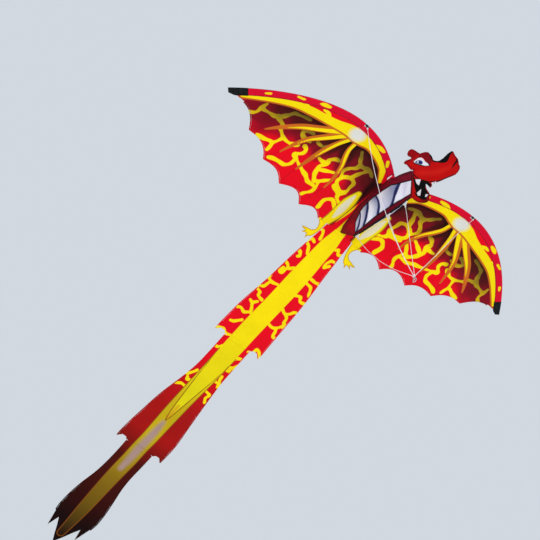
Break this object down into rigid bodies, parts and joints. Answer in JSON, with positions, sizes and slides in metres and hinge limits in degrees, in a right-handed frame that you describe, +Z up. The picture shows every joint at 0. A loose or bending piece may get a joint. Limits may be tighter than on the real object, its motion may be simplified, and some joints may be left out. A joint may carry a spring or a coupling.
{
  "type": "dragon kite",
  "caption": "Single-line kite shaped as a flying dragon, with printed bat wings on bowed spars, a V-shaped keel body, a flat profile head, claw flaps and a long barbed tail.",
  "frame": {"origin": "centre of the tow ring's hole, where the flying line is tied", "axes": "+X the animal's right wing, +Y forward to the head, +Z up, away from the belly"},
  "size_m": [1.4006, 2.07, 0.6993],
  "materials": {
    "carbon_rod": "smooth pultruded rod",
    "black_fitting": "moulded vinyl",
    "wing_fabric": "printed ripstop polyester",
    "maroon_fabric": "printed ripstop polyester",
    "belly_fabric": "printed ripstop polyester",
    "black_binding": "woven binding tape",
    "white_tab": "folded webbing",
    "bridle_cord": "braided polyester line",
    "steel_ring": "polished",
    "head_fabric": "printed ripstop polyester",
    "claw_fabric": "printed ripstop polyester",
    "tail_fabric": "printed ripstop polyester"
  },
  "bodies": {
    "kite_body": {"spine_rod": "carbon_rod", "spine_end_cap": "black_fitting", "spine_loops": "wing_fabric", "neck_stay": "carbon_rod", "nose_connector": "black_fitting", "centre_panel": "wing_fabric", "nose_cover": "maroon_fabric", "right_flank": "maroon_fabric", "left_flank": "maroon_fabric", "right_belly": "belly_fabric", "left_belly": "belly_fabric", "keel_binding": "black_binding", "front_keel_tab": "white_tab", "middle_keel_tab": "white_tab", "rear_keel_tab": "white_tab", "front_bridle_leg": "bridle_cord", "middle_bridle_leg": "bridle_cord", "rear_bridle_leg": "bridle_cord", "right_bridle_leg": "bridle_cord", "left_bridle_leg": "bridle_cord", "bridle_knot": "bridle_cord", "tow_ring": "steel_ring"},
    "right_wing": {"right_wing_sail": "wing_fabric", "right_spar_sleeve": "wing_fabric", "right_wing_spar": "carbon_rod", "right_spar_socket": "black_fitting", "right_tip_pocket": "black_binding", "right_spar_tip": "black_fitting", "right_bridle_clip": "black_fitting"},
    "left_wing": {"left_wing_sail": "wing_fabric", "left_spar_sleeve": "wing_fabric", "left_wing_spar": "carbon_rod", "left_spar_socket": "black_fitting", "left_tip_pocket": "black_binding", "left_spar_tip": "black_fitting", "left_bridle_clip": "black_fitting"},
    "dragon_head": {"head": "head_fabric"},
    "right_claw_flap": {"right_claw": "claw_fabric"},
    "left_claw_flap": {"left_claw": "claw_fabric"},
    "tail_front_flap": {"tail_front": "tail_fabric"},
    "tail_middle_flap": {"tail_middle": "tail_fabric"},
    "tail_rear_flap": {"tail_rear": "tail_fabric"}
  },
  "joints": [
    {"name": "right_wing_flex", "type": "hinge", "parent": "kite_body", "child": "right_wing", "pos_m": [0.0482, -0.14, 0.54], "axis": [0, 1, 0], "range_deg": [-6, 25], "stiffness_Nm_per_rad": 8, "deforming": ["right_bridle_leg"]},
    {"name": "left_wing_flex", "type": "hinge", "parent": "kite_body", "child": "left_wing", "pos_m": [-0.0482, -0.14, 0.54], "axis": [0, -1, 0], "range_deg": [-6, 25], "stiffness_Nm_per_rad": 8, "deforming": ["left_bridle_leg"]},
    {"name": "head_swing", "type": "hinge", "parent": "kite_body", "child": "dragon_head", "pos_m": [0, 0.04915, 0.4954], "axis": [0, 0.1841, 0.9829], "range_deg": [-25, 25]},
    {"name": "right_claw_flutter", "type": "hinge", "parent": "right_wing", "child": "right_claw_flap", "pos_m": [0.087, -0.2912, 0.54], "axis": [1, 0, 0], "range_deg": [-30, 30]},
    {"name": "left_claw_flutter", "type": "hinge", "parent": "left_wing", "child": "left_claw_flap", "pos_m": [-0.087, -0.2912, 0.54], "axis": [1, 0, 0], "range_deg": [-30, 30]},
    {"name": "tail_front_fold", "type": "hinge", "parent": "kite_body", "child": "tail_front_flap", "pos_m": [0, -0.2912, 0.54], "axis": [1, 0, 0], "range_deg": [-30, 30]},
    {"name": "tail_middle_fold", "type": "hinge", "parent": "tail_front_flap", "child": "tail_middle_flap", "pos_m": [0, -0.8151, 0.3828], "axis": [1, 0, 0], "range_deg": [-30, 30]},
    {"name": "tail_rear_fold", "type": "hinge", "parent": "tail_middle_flap", "child": "tail_rear_flap", "pos_m": [0, -1.3391, 0.2256], "axis": [1, 0, 0], "range_deg": [-30, 30]}
  ]
}
